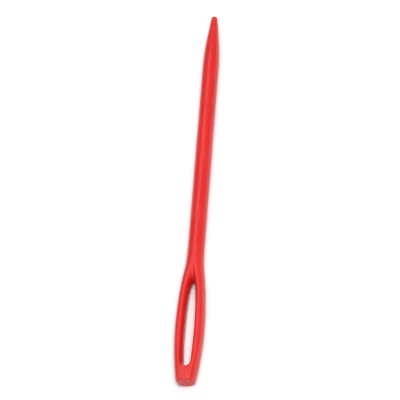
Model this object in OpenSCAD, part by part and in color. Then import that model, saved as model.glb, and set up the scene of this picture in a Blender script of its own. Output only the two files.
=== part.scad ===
// Blunt plastic yarn needle, moulded in one piece, lying flat with its point towards +Y
// Origin: middle of the length and width, on the surface that the needle lies on

/* [Needle] */
// Overall length, from the flat end of the eye to the point
needle_l = 70; // [60:1:95]
// Diameter of the round shank
shank_d = 2.7; // [2.4:0.05:3]

/* [Point] */
// Length of the taper between the shank and the point
taper_l = 10.3; // [8:0.1:14]
// Part of the taper's length that is the curved shoulder, next to the shank
shoulder_share = 0.47; // [0.3:0.01:0.7]
// Diameter of the blunt, rounded end of the point
point_d = 1.1; // [0.8:0.05:1.5]

/* [Eye] */
// Length of the eye and the neck, from the flat end to the round shank
head_l = 23.5; // [22.5:0.5:30]
// Thickness of the eye
eye_t = 2.75; // [2.2:0.05:3.2]
// Outer width of the eye at its widest place
eye_w = 4.75; // [4.5:0.05:5.4]
// Distance from the flat end to the eye's widest place
widest_at = 9.7; // [9:0.1:12]
// Outer width of the flat end, before its corners are rounded
end_w = 3; // [2.6:0.1:4]
// Radius of the flat end's corners, seen from above
corner_r = 0.5; // [0.4:0.05:1]
// Radius of the edge all round the flat end
end_edge_r = 0.3; // [0.2:0.05:0.4]
// Part of the neck's length that still bulges, before it turns hollow
bulge_share = 0.74; // [0.5:0.01:0.85]

/* [Hole] */
// Solid plastic between the flat end and the hole
hole_from = 2.8; // [2.5:0.1:4]
// Length of the hole
hole_l = 15.4; // [14:0.1:16.5]
// Width of the hole at its widest place
hole_w = 1.6; // [1.4:0.05:1.8]
// Distance from the flat end to the hole's widest place
hole_widest_at = 9.3; // [8:0.1:11]
// Width of the hole where its round end starts, near the flat end
hole_end_w = 1.2; // [1:0.05:1.4]
// How round the hole is at its end near the neck: 1 is pointed, 0.5 is fully round
hole_far_power = 0.6; // [0.5:0.01:1]
// Radius that softens the crotch where the side bars meet
crotch_r = 0.24; // [0.1:0.01:0.3]

/* [Side bars] */
// How far the rounding of a bar's outer side reaches in from its edge
outer_round = 0.8; // [0.5:0.05:0.9]
// How far the rounding of a bar's inner side reaches in from the hole
inner_round = 0.55; // [0.3:0.05:0.6]

/* [Hidden] */

// Places along the needle
end_y = -needle_l / 2;
shank_from_y = end_y + head_l;
taper_from_y = needle_l / 2 - taper_l;
shank_r = shank_d / 2;
// The neck ends in a round ring, a hair wider than the shank that it takes in
neck_step = 0.025;
neck_r = shank_r + neck_step;
half_t = eye_t / 2;
axis_z = max(neck_r, half_t);
// The shank starts this far inside the neck, so that the two join in one solid
shank_overlap = 1;

// Outer outline of the eye: one arc to the flat end, and two arcs that meet the shank
wide_r = eye_w / 2;
end_drop = wide_r - end_w / 2;
side_arc_r = (widest_at * widest_at + end_drop * end_drop) / (2 * end_drop);
neck_l = head_l - widest_at;
neck_drop = wide_r - neck_r;
neck_turn = 2 * atan(neck_drop / neck_l);
neck_radii = neck_l / sin(neck_turn);
bulge_r = neck_radii * bulge_share;
hollow_r = neck_radii - bulge_r;
bulge_l = bulge_r * sin(neck_turn);

function arc_drop(r, run) = r - sqrt(max(0, r * r - run * run));

function corner_drop(s) = s < corner_r ? arc_drop(corner_r, corner_r - s) : 0;

function outer_half(s) =
    s <= widest_at ? wide_r - arc_drop(side_arc_r, widest_at - s) - corner_drop(s)
    : s <= widest_at + bulge_l ? wide_r - arc_drop(bulge_r, s - widest_at)
    : neck_r + arc_drop(hollow_r, head_l - s);

// Outline of the hole: a round end, gently bowed sides, and a crotch that runs on as a valley
hole_to = hole_from + hole_l;
widest_gap = norm([hole_w / 2, crotch_r]);
cap_r = hole_end_w / 2;
cap_from = hole_from + cap_r;
cap_gap = norm([cap_r, crotch_r]);
hole_side_l = hole_widest_at - cap_from;
hole_side_drop = max(0.01, hole_w / 2 - cap_r);
hole_side_r = (hole_side_l * hole_side_l + hole_side_drop * hole_side_drop) / (2 * hole_side_drop);

// A power curve through 0 and 1 that isn't steep at 0
curve_ease = 0.22;
function eased_power(v, k) =
    v * pow((v * v + curve_ease * curve_ease) / (1 + curve_ease * curve_ease), (k - 1) / 2);

// Reach from the middle line to a bar, which is less than the least reach where the bars have joined
function bar_gap(s) =
    let (run = (s - hole_widest_at) / (hole_to - hole_widest_at))
    s > hole_widest_at
    ? crotch_r + (widest_gap - crotch_r) * eased_power(1 - run * run, hole_far_power)
    : norm([hole_w / 2 - arc_drop(hole_side_r, hole_widest_at - max(s, cap_from)), crotch_r]);

function least_reach(s) = norm([crotch_r, max(0, cap_from - s)]);

// How far a section has changed from a bar's shape at the hole to the round neck: 0 to 1
function neck_blend(s) =
    let (t = min(1, max(0, (s - hole_to) / (head_l - hole_to))))
    t * t * (3 - 2 * t);

// Half of the head's thickness
function half_height(s) =
    half_t + (neck_r - half_t) * neck_blend(s) - (s < end_edge_r ? arc_drop(end_edge_r, end_edge_r - s) : 0);

// The rounding of the outer side grows along the neck until the section is a full circle
least_land = 0.02;
function outer_reach(s) =
    let (reach = outer_round + (outer_half(s) - outer_round) * neck_blend(s))
    min(reach, outer_half(s) - inner_point(s, 1).x - least_land);

// One upper half section, from the innermost point over the top to the outermost point
inner_steps = 6;
outer_steps = 6;

// The turn at which the inner rounding meets the middle line: 90 where there is no valley
least_valley = 0.02;
function inner_start(s) =
    let (c = 1 + (bar_gap(s) - least_reach(s)) / inner_round)
    s >= hole_from && s <= hole_to ? 0 : c <= least_valley ? 90 : acos(min(1, c));

function inner_point(s, share) =
    let (turn = inner_start(s) + (90 - inner_start(s)) * share)
    let (reach = max(least_reach(s), bar_gap(s) + inner_round * (1 - cos(turn))))
    [
        inner_start(s) == 90 ? 0 : sqrt(max(0, reach * reach - pow(least_reach(s), 2))),
        half_height(s) * sin(turn)
    ];

function outer_point(s, share) =
    let (turn = 90 * (1 - share))
    [outer_half(s) - outer_reach(s) * (1 - cos(turn)), half_height(s) * sin(turn)];

function upper_half(s) = [
    for (i = [0:inner_steps]) inner_point(s, i / inner_steps),
    for (i = [0:outer_steps]) outer_point(s, i / outer_steps)
];

// Stations along the head, each with its kind
FLAT = 0; // solid, with a flat top
VALLEY = 1; // solid, with a valley between the bars
HOLE_END = 2;
HOLE = 3;
function solid_kind(s) = inner_start(s) == 90 ? FLAT : VALLEY;
corner_steps = 6;
fillet_steps = 4;
cap_steps = 6;
low_steps = 5;
high_steps = 11;
neck_steps = 10;
fillet_l = sqrt(pow(cap_gap + inner_round, 2) - crotch_r * crotch_r) - cap_r;
high_l = hole_to - hole_widest_at;
solid_places = [
    for (i = [0:corner_steps - 1]) corner_r * (1 - cos(90 * i / corner_steps)),
    for (i = [0:fillet_steps - 1]) hole_from - fillet_l * cos(90 * i / fillet_steps)
];
neck_places = [for (i = [1:neck_steps]) hole_to + (head_l - hole_to) * i / neck_steps];
stations = [
    for (s = solid_places) [s, solid_kind(s)],
    [hole_from, HOLE_END],
    for (i = [1:cap_steps - 1]) [cap_from - cap_r * cos(90 * i / cap_steps), HOLE],
    for (i = [0:low_steps - 1]) [cap_from + hole_side_l * i / low_steps, HOLE],
    for (i = [0:high_steps - 1]) [hole_widest_at + high_l * sin(90 * i / high_steps), HOLE],
    [hole_to, HOLE_END],
    for (s = neck_places) [s, solid_kind(s)]
];
station_count = len(stations);
half_count = inner_steps + outer_steps + 2;
ring_count = 2 * half_count - 1;
last = ring_count - 1;

function ring_point(half, j) = j < half_count ? half[j] : [half[last - j].x, -half[last - j].y];

// The right side's points come first, then the left side's, then the middles of the two end faces
head_points = [
    for (side = [1, -1])
        for (station = stations)
            let (half = upper_half(station[0]))
            for (j = [0:last])
                let (p = ring_point(half, j))
                [side * p.x, end_y + station[0], p.y],
    [0, end_y, 0],
    [0, end_y + head_l, 0]
];

// A flat top has one inner point, and beside the hole each bar's section closes on itself
function true_place(kind, j) =
    kind == FLAT && j <= inner_steps ? 0
    : kind == FLAT && j >= last - inner_steps ? last
    : kind >= HOLE_END && j == last ? 0
    : j;

// The points on the middle line belong to both sides
function point_at(side, i, j) =
    let (kind = stations[i][1])
    let (jj = true_place(kind, j))
    let (shared = kind != HOLE && (jj == 0 || jj == last))
    ((shared ? 0 : side) * station_count + i) * ring_count + jj;

function quad(a, b, c, d) = [[a, b, c], [a, c, d]];

function turned(flip, face) = flip ? [face[0], face[2], face[1]] : face;

function has_area(face) = face[0] != face[1] && face[1] != face[2] && face[2] != face[0];

end_middle = 2 * station_count * ring_count;
neck_middle = end_middle + 1;
all_faces = [
    for (side = [0, 1])
        for (i = [0:station_count - 2])
            for (j = [0:last - 1])
                for (face = quad(point_at(side, i, j), point_at(side, i + 1, j),
                                 point_at(side, i + 1, j + 1), point_at(side, i, j + 1)))
                    turned(side == 1, face),
    for (side = [0, 1])
        for (j = [0:last - 1])
            turned(side == 1, [end_middle, point_at(side, 0, j), point_at(side, 0, j + 1)]),
    for (side = [0, 1])
        for (j = [0:last - 1])
            turned(side == 0, [neck_middle, point_at(side, station_count - 1, j),
                               point_at(side, station_count - 1, j + 1)])
];
head_faces = [for (face = all_faces) if (has_area(face)) face];

// Outline of the shank and its taper, as pairs of radius and distance from the shank's start
shoulder_steps = 10;
point_steps = 6;
shank_l = taper_from_y - shank_from_y;
shoulder_l = taper_l * shoulder_share;
point_r = point_d / 2;
cone_l = taper_l - shoulder_l - point_r;
cone_tilt = atan((shank_r - point_r) / (cone_l + shoulder_l / 2));
shoulder_r = shoulder_l / sin(cone_tilt);
shank_outline = [
    [0, -shank_overlap],
    [shank_r, -shank_overlap],
    for (i = [0:shoulder_steps])
        let (turn = cone_tilt * i / shoulder_steps)
        [shank_r - shoulder_r * (1 - cos(turn)), shank_l + shoulder_r * sin(turn)],
    for (i = [0:point_steps])
        let (turn = cone_tilt + (90 - cone_tilt) * i / point_steps)
        [point_r * cos(turn), shank_l + taper_l - point_r + point_r * sin(turn)]
];

module head() {
    translate([0, 0, axis_z])
        polyhedron(points = head_points, faces = head_faces, convexity = 6);
}

module shank() {
    translate([0, shank_from_y, axis_z])
        rotate([-90, 0, 0])
            rotate_extrude($fn = 96)
                polygon(shank_outline);
}

// The whole needle: the head with its eye, and the round shank with its blunt point, in one solid
module needle() {
    color([0.86, 0.12, 0.11])
        union() {
            head();
            shank();
        }
}

needle();
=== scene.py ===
import math

import bpy
import numpy as np
from mathutils import Matrix, Vector


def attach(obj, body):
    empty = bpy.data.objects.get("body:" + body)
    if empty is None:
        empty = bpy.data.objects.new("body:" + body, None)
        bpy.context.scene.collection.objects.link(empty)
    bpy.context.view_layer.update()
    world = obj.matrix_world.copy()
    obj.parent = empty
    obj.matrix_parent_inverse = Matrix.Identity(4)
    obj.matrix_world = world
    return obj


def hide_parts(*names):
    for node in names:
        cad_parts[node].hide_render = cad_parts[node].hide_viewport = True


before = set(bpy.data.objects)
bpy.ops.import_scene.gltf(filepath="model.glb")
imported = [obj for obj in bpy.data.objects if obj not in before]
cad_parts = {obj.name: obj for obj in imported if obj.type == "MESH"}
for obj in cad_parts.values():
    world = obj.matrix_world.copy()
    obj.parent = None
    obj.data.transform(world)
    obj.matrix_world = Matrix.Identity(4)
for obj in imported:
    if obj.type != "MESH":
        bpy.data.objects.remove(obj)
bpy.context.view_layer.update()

# The yarn needle's sizes in the CAD source, in millimetres, with widths and diameters halved
LENGTH = 70.0
SHANK_R = 1.35
NECK_R = 1.375
HALF_T = 1.375
AXIS_Z = 1.375
TAPER_L = 10.3
SHOULDER_SHARE = 0.47
POINT_R = 0.55
HEAD_L = 23.5
WIDE_R = 2.375
WIDEST_AT = 9.7
END_HALF = 1.5
CORNER_R = 0.5
END_EDGE_R = 0.3
BULGE_SHARE = 0.74
HOLE_FROM = 2.8
HOLE_L = 15.4
HOLE_HALF = 0.8
HOLE_WIDEST_AT = 9.3
HOLE_END_HALF = 0.6
HOLE_FAR_POWER = 0.6
CURVE_EASE = 0.22
CROTCH_R = 0.24
OUTER_ROUND = 0.8
INNER_ROUND = 0.55
MM = 0.001

# Values that follow from them
END_Y = -LENGTH / 2
TAPER_FROM = LENGTH - TAPER_L
HOLE_TO = HOLE_FROM + HOLE_L
BAR_GAP = math.hypot(HOLE_HALF, CROTCH_R)
CAP_FROM = HOLE_FROM + HOLE_END_HALF
CAP_GAP = math.hypot(HOLE_END_HALF, CROTCH_R)
FILLET_END = CAP_FROM - math.sqrt((CAP_GAP + INNER_ROUND) ** 2 - CROTCH_R**2)
HOLE_SIDE_L = HOLE_WIDEST_AT - CAP_FROM
HOLE_SIDE_DROP = HOLE_HALF - HOLE_END_HALF
HOLE_SIDE_R = (HOLE_SIDE_L**2 + HOLE_SIDE_DROP**2) / (2 * HOLE_SIDE_DROP)
END_DROP = WIDE_R - END_HALF
SIDE_ARC_R = (WIDEST_AT**2 + END_DROP**2) / (2 * END_DROP)
NECK_L = HEAD_L - WIDEST_AT
NECK_TURN = 2 * math.atan((WIDE_R - NECK_R) / NECK_L)
NECK_RADII = NECK_L / math.sin(NECK_TURN)
BULGE_R = NECK_RADII * BULGE_SHARE
HOLLOW_R = NECK_RADII - BULGE_R
BULGE_L = BULGE_R * math.sin(NECK_TURN)
SHOULDER_L = TAPER_L * SHOULDER_SHARE
CONE_FROM = TAPER_FROM + SHOULDER_L
CONE_L = TAPER_L - SHOULDER_L - POINT_R
CONE_TILT = math.atan((SHANK_R - POINT_R) / (CONE_L + SHOULDER_L / 2))
SHOULDER_R = SHOULDER_L / math.sin(CONE_TILT)
BALL_MIDDLE = LENGTH - POINT_R
BALL_FROM = BALL_MIDDLE + POINT_R * math.sin(CONE_TILT)

# The mould's parting line: a fine ridge along the middle of both sides
RIDGE_H = 0.022
RIDGE_HALF_W = 0.045
# This share of its height is even, and waves with a size, a pace and a shift make up the rest
RIDGE_EVEN_SHARE = 0.8
RIDGE_WAVES = ((1.0, 1.7, 0.4), (0.7, 4.3, 2.1), (0.4, 9.1, 5.0))
# It starts this far from the flat end, and fades out between these distances from the point
RIDGE_FROM = 0.2
RIDGE_TO_POINT = 0.3
RIDGE_FULL_TO_POINT = 2.5
# In the hole it fades in between these distances of the bar from the middle line
RIDGE_FADE_GAPS = (0.12, 0.4)

# The stub that the mould's gate leaves on the flat end
GATE_HALF_X = 0.27
GATE_HALF_Z = 0.34
GATE_H = 0.10
# Its edge falls between these multiples of its half sizes
GATE_EDGE = (1.2, 0.85)
# It broke off unevenly: an even share of its height, and waves with size, x pace, z pace and shift
GATE_EVEN_SHARE = 0.75
GATE_WAVES = ((0.16, 11.0, 7.0, 0.5), (0.09, -23.0, 19.0, 0.0))

# How fine the mesh is: steps along a quarter section, the points that it is drawn from, and the
# rings that fill the flat end, closer together the nearer they are to its middle
QUARTER_STEPS = 44
CURVE_POINTS = 64
END_RINGS = 24
END_RING_POWER = 1.6
# Stretches of the needle: where each starts, its number of sections, and at which end they crowd
STRETCHES = (
    (0.0, 18, "low"),
    (CORNER_R, 10, "even"),
    (FILLET_END, 18, "both"),
    (HOLE_FROM, 18, "low"),
    (CAP_FROM, 30, "even"),
    (HOLE_WIDEST_AT, 50, "high"),
    (HOLE_TO, 34, "low"),
    (HEAD_L, 60, "even"),
    (TAPER_FROM, 16, "even"),
    (CONE_FROM, 14, "even"),
)
BALL_STEPS = 14
# The least flat land on top of a bar, and the length and angle that count as nothing
LEAST_LAND = 0.004
NO_LENGTH = 1e-9
NO_ANGLE = 1e-6
# The quarters of a section: right or left, and upper or lower
QUARTERS = ((1, 1), (1, -1), (-1, 1), (-1, -1))

# The plastic's colours, from its deepest red to where it is scuffed
DEEP_RED = (0.545, 0.0095, 0.0090, 1.0)
PLAIN_RED = (0.605, 0.0120, 0.0110, 1.0)
LIGHT_RED = (0.650, 0.0150, 0.0135, 1.0)
SCUFFED_RED = (0.690, 0.110, 0.100, 1.0)
# Grain of each pattern, in waves per metre across, along and up; strokes have axes of their own
STREAK_GRAIN = (1500.0, 90.0, 1500.0)
DRIFT_GRAIN = (130.0, 130.0, 130.0)
STROKE_GRAIN = (2200.0, 300.0, 900.0)
SCUFF_GRAIN = (2600.0, 2600.0, 2600.0)
SMUDGE_GRAIN = (330.0, 210.0, 330.0)
SKIN_GRAIN = (1900.0, 1500.0, 1900.0)
DRAG_GRAIN = (6500.0, 260.0, 6500.0)
# The noise at which each pattern starts and is full
STREAK_BAND = (0.3, 0.7)
DRIFT_BAND = (0.35, 0.65)
STROKE_BAND = (0.56, 0.62)
SCUFF_BAND = (0.42, 0.70)
SMUDGE_BAND = (0.35, 0.70)
# The largest share that the colour of each pattern or mark gets
DRIFT_TINT = 0.55
WELD_TINT = 0.35
SCUFF_TINT = 0.25
SCRATCH_TINT = 0.15
# Roughness from clean to smudged plastic, and what a scratch or a scuff adds to it
ROUGHNESS = (0.24, 0.36)
SCRATCH_ROUGH = 0.25
SCUFF_ROUGH = 0.22
# Depth of the relief, in metres, and the weld line's share of a scratch's depth
SKIN_DEPTH = 0.0000030
DRAG_DEPTH = 0.0000008
CUT_DEPTH = 0.0000020
WELD_CUT_SHARE = 0.8
# Handling scratches: how far apart they lie on average and half their width, both in metres,
# and the turns in radians that give their directions
STROKE_APART = 0.00045
STROKE_HALF_W = 0.000009
STROKE_TURNS = ((0.2, 0.1, 0.45), (-0.3, 0.2, -0.62), (0.1, -0.2, 1.10))
# The weld line behind the eye, in metres: where it fades out sideways, and in and out along Y
WELD_FADES_ASIDE = (0.00002, 0.00011)
WELD_FADES_IN = (-0.0155, -0.0130)
WELD_FADES_OUT = (-0.0110, -0.0070)
# Where scuffs fade in along Y, in metres, and the share that they reach at the flat end
SCUFFED_POINT = (0.0300, 0.0350)
SCUFFED_END = (-0.0338, -0.0350)
SCUFFED_END_SHARE = 0.7
# Light that enters the plastic: its share, and how far it gets in metres and by colour
GLOW_SHARE = 0.35
GLOW_DEPTH = 0.0010
GLOW_COLOUR = (1.0, 0.22, 0.16)
PLASTIC_IOR = 1.49

# The white paper below it: half its width in metres, its grain in waves per metre, and its looks
GROUND_HALF = 1.6
PAPER_GRAIN = (900.0, 900.0, 900.0)
PAPER_DARK = (0.785, 0.785, 0.785, 1.0)
PAPER_LIGHT = (0.800, 0.800, 0.800, 1.0)
PAPER_ROUGH = 0.75
PAPER_SPECULAR = 0.2

# Square soft lights: name, place and side in metres, and power in watts
LIGHTS = (
    ("key", (0.25, -0.16, 0.95), 0.60, 10.7),
    ("sheen", (-0.15, 0.49, 0.86), 0.55, 1.3),
)
WORLD_COLOUR = (1.0, 1.0, 1.0, 1.0)
WORLD_STRENGTH = 0.36

# The camera's place in metres, and the needle's lean and its length in pixels in the picture
VIEWPOINT = (0.0841, -0.1858, 0.3069)
LEAN_DEGREES = 4.57
PICTURE_PX = 400
SHOWN_PX = 366
# The width of its sensor in millimetres, and the nearest and farthest that it sees in metres
SENSOR_W = 36.0
CLIP_RANGE = (0.01, 10.0)


def arc_drop(radius, run):
    """How far a circle falls off from its top, run to the side of it."""
    return radius - math.sqrt(max(0.0, radius * radius - run * run))


def smooth_step(start, end, value):
    """A smooth rise from 0 at start to 1 at end, which may be the lower of the two."""
    share = min(1.0, max(0.0, (value - start) / (end - start)))
    return share * share * (3 - 2 * share)


def outer_half(s):
    """Half of the head's width at s mm from the flat end."""
    if s <= WIDEST_AT:
        corner = arc_drop(CORNER_R, CORNER_R - s) if s < CORNER_R else 0.0
        return WIDE_R - arc_drop(SIDE_ARC_R, WIDEST_AT - s) - corner
    if s <= WIDEST_AT + BULGE_L:
        return WIDE_R - arc_drop(BULGE_R, s - WIDEST_AT)
    return NECK_R + arc_drop(HOLLOW_R, HEAD_L - s)


def eased_power(value, power):
    """A power curve through 0 and 1 that isn't steep at 0."""
    return value * ((value**2 + CURVE_EASE**2) / (1 + CURVE_EASE**2)) ** ((power - 1) / 2)


def bar_gap(s):
    """Reach from the middle line to a bar's innermost line, less than least_reach where they have joined."""
    if s > HOLE_WIDEST_AT:
        run = (s - HOLE_WIDEST_AT) / (HOLE_TO - HOLE_WIDEST_AT)
        return CROTCH_R + (BAR_GAP - CROTCH_R) * eased_power(1 - run * run, HOLE_FAR_POWER)
    side = HOLE_HALF - arc_drop(HOLE_SIDE_R, HOLE_WIDEST_AT - max(s, CAP_FROM))
    return math.hypot(side, CROTCH_R)


def least_reach(s):
    """The reach at which a bar's surface meets the middle line."""
    return math.hypot(CROTCH_R, max(0.0, CAP_FROM - s))


def shank_radius(s):
    """Radius of the round part, from the neck to the point."""
    if s <= TAPER_FROM:
        return NECK_R + (SHANK_R - NECK_R) * smooth_step(HEAD_L, HEAD_L + SHANK_R, s)
    if s <= CONE_FROM:
        return SHANK_R - arc_drop(SHOULDER_R, s - TAPER_FROM)
    if s >= BALL_FROM:
        up = min(POINT_R, s - BALL_MIDDLE)
        return math.sqrt(max(0.0, POINT_R**2 - up**2))
    start = SHANK_R - arc_drop(SHOULDER_R, SHOULDER_L)
    end = POINT_R * math.cos(CONE_TILT)
    return start + (end - start) * (s - CONE_FROM) / (BALL_FROM - CONE_FROM)


def quarter_curve(s):
    """The upper right quarter of the section: points from the innermost to the outermost."""
    quarter = np.linspace(0.0, math.pi / 2, CURVE_POINTS)
    if s >= HEAD_L:
        radius = shank_radius(s)
        return np.stack([radius * np.sin(quarter), radius * np.cos(quarter)], 1)
    blend = smooth_step(HOLE_TO, HEAD_L, s)
    height = HALF_T + (NECK_R - HALF_T) * blend
    if s < END_EDGE_R:
        height -= arc_drop(END_EDGE_R, END_EDGE_R - s)
    gap = bar_gap(s)
    least = least_reach(s)
    start = 0.0
    if gap < least:
        start = math.acos(max(0.0, 1 + (gap - least) / INNER_ROUND))
    turn = start + (math.pi / 2 - start) * np.linspace(0.0, 1.0, CURVE_POINTS)
    reach = np.maximum(least, gap + INNER_ROUND * (1 - np.cos(turn)))
    inner_x = np.sqrt(np.maximum(0.0, reach**2 - least**2))
    if start >= math.pi / 2 - NO_ANGLE:
        inner_x[:] = 0.0
    inner = np.stack([inner_x, height * np.sin(turn)], 1)
    wide = outer_half(s)
    reach_out = OUTER_ROUND + (wide - OUTER_ROUND) * blend
    reach_out = min(reach_out, wide - inner_x[-1] - LEAST_LAND)
    outer = np.stack([wide - reach_out * (1 - np.sin(quarter)), height * np.cos(quarter)], 1)
    return np.concatenate([inner, outer])


def spread(points, count):
    """The same line with count + 1 points, closest together at both ends."""
    steps = np.hypot(*np.diff(points, axis=0).T)
    along = np.concatenate([[0.0], np.cumsum(steps)])
    keep = np.concatenate([[True], steps > NO_LENGTH])
    along, points = along[keep], points[keep]
    wanted = along[-1] * (1 - np.cos(np.linspace(0.0, math.pi, count + 1))) / 2
    return np.stack([np.interp(wanted, along, points[:, 0]), np.interp(wanted, along, points[:, 1])], 1)


def wobble(s, waves):
    """A fixed, uneven number from -1 to 1 that changes slowly with s."""
    total = sum(size * math.sin(s * pace + shift) for size, pace, shift in waves)
    return total / sum(size for size, pace, shift in waves)


def ridge_height(s):
    """Height of the parting line's ridge at s mm from the flat end."""
    height = RIDGE_H * (RIDGE_EVEN_SHARE + (1 - RIDGE_EVEN_SHARE) * wobble(s, RIDGE_WAVES))
    past_end = smooth_step(RIDGE_FROM, CORNER_R, s)
    before_point = smooth_step(LENGTH - RIDGE_TO_POINT, LENGTH - RIDGE_FULL_TO_POINT, s)
    return height * past_end * before_point


def quarter_at(s):
    """A quarter section with the parting line's ridge on its outer and inner edge."""
    points = spread(quarter_curve(s), QUARTER_STEPS)
    lift = ridge_height(s) * np.exp(-((points[:, 1] / RIDGE_HALF_W) ** 2))
    outer = np.arange(QUARTER_STEPS + 1) > QUARTER_STEPS // 2
    points[outer, 0] += lift[outer]
    if HOLE_FROM < s < HOLE_TO:
        fade = smooth_step(*RIDGE_FADE_GAPS, points[0, 0])
        points[~outer, 0] -= fade * lift[~outer]
    return points


def eased(start, end, steps, crowded):
    """Places from start up to but not including end, close together where crowded says."""
    share = np.arange(steps) / steps
    if crowded == "low":
        share = 1 - np.cos(share * math.pi / 2)
    elif crowded == "high":
        share = np.sin(share * math.pi / 2)
    elif crowded == "both":
        share = (1 - np.cos(share * math.pi)) / 2
    return list(start + (end - start) * share)


def section_places():
    """Places along the needle where it gets a section, denser where its shape changes fast."""
    places = []
    ends = [start for start, steps, crowded in STRETCHES[1:]] + [BALL_FROM]
    for (start, steps, crowded), end in zip(STRETCHES, ends):
        places += eased(start, end, steps, crowded)
    for i in range(BALL_STEPS):
        turn = CONE_TILT + (math.pi / 2 - CONE_TILT) * i / BALL_STEPS
        places.append(BALL_MIDDLE + POINT_R * math.sin(turn))
    return places


def kind_of(s):
    """solid, crotch (where a hole starts or ends) or hole."""
    if abs(s - HOLE_FROM) < NO_LENGTH or abs(s - HOLE_TO) < NO_LENGTH:
        return "crotch"
    return "hole" if HOLE_FROM < s < HOLE_TO else "solid"


def gate_height(x, z):
    """How far the flat end stands out at x, z: the stub of the gate, broken off unevenly."""
    away = math.hypot(x / GATE_HALF_X, z / GATE_HALF_Z)
    rough = GATE_EVEN_SHARE
    for size, pace_x, pace_z, shift in GATE_WAVES:
        rough += size * math.sin(x * pace_x + z * pace_z + shift)
    return GATE_H * smooth_step(*GATE_EDGE, away) * rough


def place_section(points, s):
    """Add a section's points, and give each quarter's row of point numbers, innermost first.

    Quarters share the points on their edges, and on the middle line where the needle is solid.
    """
    kind = kind_of(s)
    quarter = quarter_at(s)
    numbers = {}
    rows = {}
    for side, level in QUARTERS:
        row = []
        for j, (x, z) in enumerate(quarter):
            first = j == 0
            last = j == QUARTER_STEPS
            on_middle = first and kind != "hole"
            if on_middle:
                name = "middle" if kind == "crotch" else ("middle", level)
            elif first or last:
                name = (side, "edge", last)
            else:
                name = (side, level, j)
            if name not in numbers:
                numbers[name] = len(points)
                points.append((0.0 if on_middle else side * x, END_Y + s, AXIS_Z + level * z))
            row.append(numbers[name])
        rows[side, level] = row
    return rows


def once_round(rows):
    """A solid section's outline as point numbers: down its right side and up its left side."""
    right = rows[1, 1] + rows[1, -1][-2::-1]
    left = rows[-1, -1][1:] + rows[-1, 1][-2:0:-1]
    return right + left


def add_face(faces, corners, flip=False):
    """Add a face without its repeated corners, if at least a triangle is left."""
    kept = [corner for k, corner in enumerate(corners) if corner != corners[k - 1]]
    if len(kept) > 2:
        faces.append(tuple(reversed(kept)) if flip else tuple(kept))


def join_sections(faces, one, two):
    """The skin between two neighbouring sections."""
    for side, level in QUARTERS:
        a = one[side, level]
        b = two[side, level]
        for j in range(QUARTER_STEPS):
            add_face(faces, (a[j], b[j], b[j + 1], a[j + 1]), side * level < 0)


def close_flat_end(points, faces, outline):
    """Fill the flat end with shrinking rings that carry the gate's stub."""
    count = len(outline)
    previous = outline
    for k in range(1, END_RINGS):
        share = (1 - k / END_RINGS) ** END_RING_POWER
        current = []
        for corner in outline:
            x = points[corner][0] * share
            z = (points[corner][2] - AXIS_Z) * share
            current.append(len(points))
            points.append((x, END_Y - gate_height(x, z), AXIS_Z + z))
        for j in range(count):
            n = (j + 1) % count
            add_face(faces, (previous[j], previous[n], current[n], current[j]))
        previous = current
    centre = len(points)
    points.append((0.0, END_Y - gate_height(0.0, 0.0), AXIS_Z))
    for j in range(count):
        add_face(faces, (previous[j], previous[(j + 1) % count], centre))


def close_point(points, faces, outline):
    """Close the round point with one last point at its tip."""
    count = len(outline)
    tip = len(points)
    points.append((0.0, END_Y + LENGTH, AXIS_Z))
    for j in range(count):
        add_face(faces, (outline[(j + 1) % count], outline[j], tip))


def build_needle():
    """The whole needle as one closed mesh, in metres."""
    points = []
    faces = []
    sections = [place_section(points, s) for s in section_places()]
    for one, two in zip(sections, sections[1:]):
        join_sections(faces, one, two)
    close_flat_end(points, faces, once_round(sections[0]))
    close_point(points, faces, once_round(sections[-1]))
    mesh = bpy.data.meshes.new("moulded_needle")
    mesh.from_pydata([(x * MM, y * MM, z * MM) for x, y, z in points], [], faces)
    mesh.validate()
    mesh.shade_smooth()
    needle = bpy.data.objects.new("moulded_needle", mesh)
    bpy.context.scene.collection.objects.link(needle)
    return needle


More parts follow.
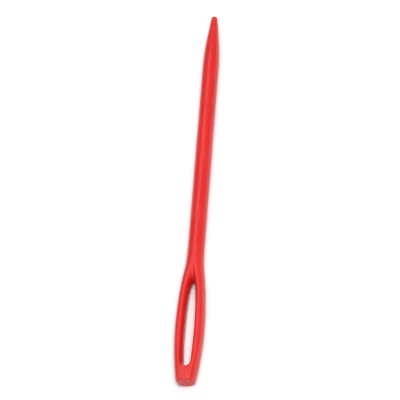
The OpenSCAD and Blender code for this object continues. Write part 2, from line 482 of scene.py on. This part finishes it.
class Tree:
    """Small helper to write a material's nodes in a few lines."""

    def __init__(self, name):
        self.material = bpy.data.materials.new(name)
        self.material.use_nodes = True
        self.tree = self.material.node_tree
        self.tree.nodes.clear()

    def add(self, kind, settings=None, **sockets):
        """A new node. Its sockets go by their names, with _ for a space."""
        node = self.tree.nodes.new(kind)
        for key, value in (settings or {}).items():
            setattr(node, key, value)
        for key, value in sockets.items():
            self.feed(node.inputs[key.replace("_", " ")], value)
        return node

    def feed(self, socket, value):
        if isinstance(value, bpy.types.NodeSocket):
            self.tree.links.new(value, socket)
        else:
            socket.default_value = value

    def place(self):
        return self.add("ShaderNodeTexCoord").outputs["Object"]

    def math(self, operation, first, second=0.0, third=0.0, clamp=False):
        node = self.add("ShaderNodeMath", {"operation": operation, "use_clamp": clamp})
        for socket, value in zip(node.inputs, (first, second, third)):
            self.feed(socket, value)
        return node.outputs[0]

    def ramp(self, value, low, high, to_low=0.0, to_high=1.0):
        """A smooth change from to_low at low to to_high at high."""
        node = self.add(
            "ShaderNodeMapRange",
            {"interpolation_type": "SMOOTHSTEP"},
            Value=value,
            From_Min=low,
            From_Max=high,
            To_Min=to_low,
            To_Max=to_high,
        )
        return node.outputs["Result"]

    def noise(self, vector, grain, detail=2.0, roughness=0.5):
        mapped = self.add("ShaderNodeMapping", Vector=vector, Scale=grain).outputs[0]
        node = self.add("ShaderNodeTexNoise", Vector=mapped, Scale=1.0, Detail=detail, Roughness=roughness)
        return node.outputs[0]

    def mix(self, share, first, second):
        """A mix of two colours, whose sockets come after those for numbers and vectors."""
        node = self.add("ShaderNodeMix", {"data_type": "RGBA"})
        factor, colour_a, colour_b, result = node.inputs[0], node.inputs[6], node.inputs[7], node.outputs[2]
        self.feed(factor, share)
        self.feed(colour_a, first)
        self.feed(colour_b, second)
        return result

    def finish(self, shader):
        """The finished material."""
        output = self.add("ShaderNodeOutputMaterial")
        self.tree.links.new(shader.outputs[0], output.inputs["Surface"])
        return self.material


def pigment(t, place):
    """Streaks of pigment that follow the flow, and a slow drift along the needle."""
    streaks = t.ramp(t.noise(place, STREAK_GRAIN, detail=3.0, roughness=0.6), *STREAK_BAND)
    drift = t.ramp(t.noise(place, DRIFT_GRAIN), *DRIFT_BAND)
    colour = t.mix(streaks, DEEP_RED, PLAIN_RED)
    return t.mix(t.math("MULTIPLY", drift, DRIFT_TINT), colour, LIGHT_RED)


def weld_line(t, x, y):
    """Where the two streams of plastic met behind the eye."""
    across = t.ramp(t.math("ABSOLUTE", x), *WELD_FADES_ASIDE, 1.0, 0.0)
    fade_in = t.ramp(y, *WELD_FADES_IN)
    fade_out = t.ramp(y, *WELD_FADES_OUT, 1.0, 0.0)
    return t.math("MULTIPLY", across, t.math("MULTIPLY", fade_in, fade_out))


def strokes(t, place, turn):
    """Straight thin strokes across one turned axis, at uneven distances and of uneven length."""
    turned = t.add("ShaderNodeMapping", Vector=place, Rotation=turn).outputs[0]
    across = t.add("ShaderNodeSeparateXYZ", Vector=turned).outputs[0]
    lines = t.add("ShaderNodeTexVoronoi", {"voronoi_dimensions": "1D"}, W=across, Scale=1 / STROKE_APART)
    line = t.ramp(lines.outputs["Distance"], 0.0, STROKE_HALF_W / STROKE_APART, 1.0, 0.0)
    lengths = t.ramp(t.noise(turned, STROKE_GRAIN, detail=1.0), *STROKE_BAND)
    return t.math("MULTIPLY", line, lengths)


def scratched(t, place):
    """Fine straight handling scratches in all their directions."""
    scratches = strokes(t, place, STROKE_TURNS[0])
    for turn in STROKE_TURNS[1:]:
        scratches = t.math("MAXIMUM", scratches, strokes(t, place, turn))
    return scratches


def scuffed(t, place, y):
    """Scuffed plastic on the point and, less so, round the flat end."""
    near_point = t.ramp(y, *SCUFFED_POINT)
    near_end = t.ramp(y, *SCUFFED_END, 0.0, SCUFFED_END_SHARE)
    grain = t.ramp(t.noise(place, SCUFF_GRAIN, detail=4.0, roughness=0.65), *SCUFF_BAND)
    return t.math("MULTIPLY", t.math("MAXIMUM", near_point, near_end), grain)


def relief(t, place, scratches, weld):
    """A soft orange-peel skin, drag marks along the mould, and the scratches and the weld cut in."""
    skin = t.noise(place, SKIN_GRAIN)
    drag = t.noise(place, DRAG_GRAIN)
    cut = t.math("ADD", scratches, t.math("MULTIPLY", weld, WELD_CUT_SHARE))
    peel = t.add("ShaderNodeBump", Strength=1.0, Distance=SKIN_DEPTH, Height=skin).outputs[0]
    dragged = t.add("ShaderNodeBump", Strength=1.0, Distance=DRAG_DEPTH, Height=drag, Normal=peel).outputs[0]
    return t.add(
        "ShaderNodeBump", {"invert": True}, Strength=1.0, Distance=CUT_DEPTH, Height=cut, Normal=dragged
    ).outputs[0]


def red_plastic():
    """Glossy red moulded plastic: flow streaks, a fine skin, handling scratches and scuffs."""
    t = Tree("red_plastic")
    place = t.place()
    axes = t.add("ShaderNodeSeparateXYZ", Vector=place)
    weld = weld_line(t, axes.outputs["X"], axes.outputs["Y"])
    scratches = scratched(t, place)
    scuffs = scuffed(t, place, axes.outputs["Y"])

    colour = t.mix(t.math("MULTIPLY", weld, WELD_TINT), pigment(t, place), DEEP_RED)
    colour = t.mix(t.math("MULTIPLY", scuffs, SCUFF_TINT), colour, SCUFFED_RED)
    colour = t.mix(t.math("MULTIPLY", scratches, SCRATCH_TINT), colour, SCUFFED_RED)

    rough = t.ramp(t.noise(place, SMUDGE_GRAIN, detail=3.0), *SMUDGE_BAND, *ROUGHNESS)
    rough = t.math("MULTIPLY_ADD", scratches, SCRATCH_ROUGH, rough)
    rough = t.math("MULTIPLY_ADD", scuffs, SCUFF_ROUGH, rough, clamp=True)

    shader = t.add(
        "ShaderNodeBsdfPrincipled",
        Base_Color=colour,
        Roughness=rough,
        Normal=relief(t, place, scratches, weld),
        IOR=PLASTIC_IOR,
        Subsurface_Weight=GLOW_SHARE,
        Subsurface_Radius=GLOW_COLOUR,
        Subsurface_Scale=GLOW_DEPTH,
    )
    return t.finish(shader)


def white_paper():
    """Matt white paper with a barely visible grain."""
    t = Tree("white_ground")
    grain = t.noise(t.place(), PAPER_GRAIN, detail=4.0)
    colour = t.mix(grain, PAPER_DARK, PAPER_LIGHT)
    shader = t.add(
        "ShaderNodeBsdfPrincipled",
        Base_Color=colour,
        Roughness=PAPER_ROUGH,
        Specular_IOR_Level=PAPER_SPECULAR,
    )
    return t.finish(shader)


def build_ground():
    mesh = bpy.data.meshes.new("ground")
    corners = [(x * GROUND_HALF, y * GROUND_HALF, 0.0) for x, y in ((-1, -1), (1, -1), (1, 1), (-1, 1))]
    mesh.from_pydata(corners, [], [(0, 1, 2, 3)])
    mesh.materials.append(white_paper())
    ground = bpy.data.objects.new("ground", mesh)
    bpy.context.scene.collection.objects.link(ground)


def build_light(name, place, side, power):
    """A square soft light that faces the middle of the needle."""
    data = bpy.data.lights.new(name, "AREA")
    data.shape = "SQUARE"
    data.size = side
    data.energy = power
    light = bpy.data.objects.new(name, data)
    light.location = place
    light.rotation_mode = "QUATERNION"
    light.rotation_quaternion = Vector(place).to_track_quat("Z", "Y")
    bpy.context.scene.collection.objects.link(light)


def build_surroundings():
    world = bpy.data.worlds.new("studio")
    world.use_nodes = True
    background = world.node_tree.nodes["Background"]
    background.inputs["Color"].default_value = WORLD_COLOUR
    background.inputs["Strength"].default_value = WORLD_STRENGTH
    bpy.context.scene.world = world


def build_camera():
    """The photograph's view of the needle: from its right, its eye end towards the viewer."""
    viewpoint = Vector(VIEWPOINT)
    lean = math.radians(LEAN_DEGREES)
    end = Vector((0.0, END_Y * MM, AXIS_Z * MM))
    tip = Vector((0.0, -END_Y * MM, AXIS_Z * MM))

    # The view's middle halves the angle between the needle's two ends
    end_far = (viewpoint - end).length
    tip_far = (viewpoint - tip).length
    aim = (end * tip_far + tip * end_far) / (end_far + tip_far)
    forward = (aim - viewpoint).normalized()
    along = Vector((0.0, 1.0, 0.0))
    along = (along - along.dot(forward) * forward).normalized()
    up = math.cos(lean) * along - math.sin(lean) * forward.cross(along)
    right = forward.cross(up)

    # The lens shows the needle SHOWN_PX tall
    seen = 0.0
    for place in (end, tip):
        ray = place - viewpoint
        seen += abs(ray.dot(up) / ray.dot(forward))
    data = bpy.data.cameras.new("camera")
    data.sensor_width = SENSOR_W
    data.lens = SHOWN_PX / PICTURE_PX * SENSOR_W / seen
    data.clip_start, data.clip_end = CLIP_RANGE
    camera = bpy.data.objects.new("camera", data)
    turn = Matrix((right, up, -forward)).transposed()
    camera.matrix_world = Matrix.Translation(viewpoint) @ turn.to_4x4()
    bpy.context.scene.collection.objects.link(camera)
    bpy.context.scene.camera = camera


needle = build_needle()
needle.data.materials.append(red_plastic())
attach(needle, "root")
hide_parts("needle")
build_ground()
for light in LIGHTS:
    build_light(*light)
build_surroundings()
build_camera()
bpy.context.scene.view_settings.view_transform = "Standard"
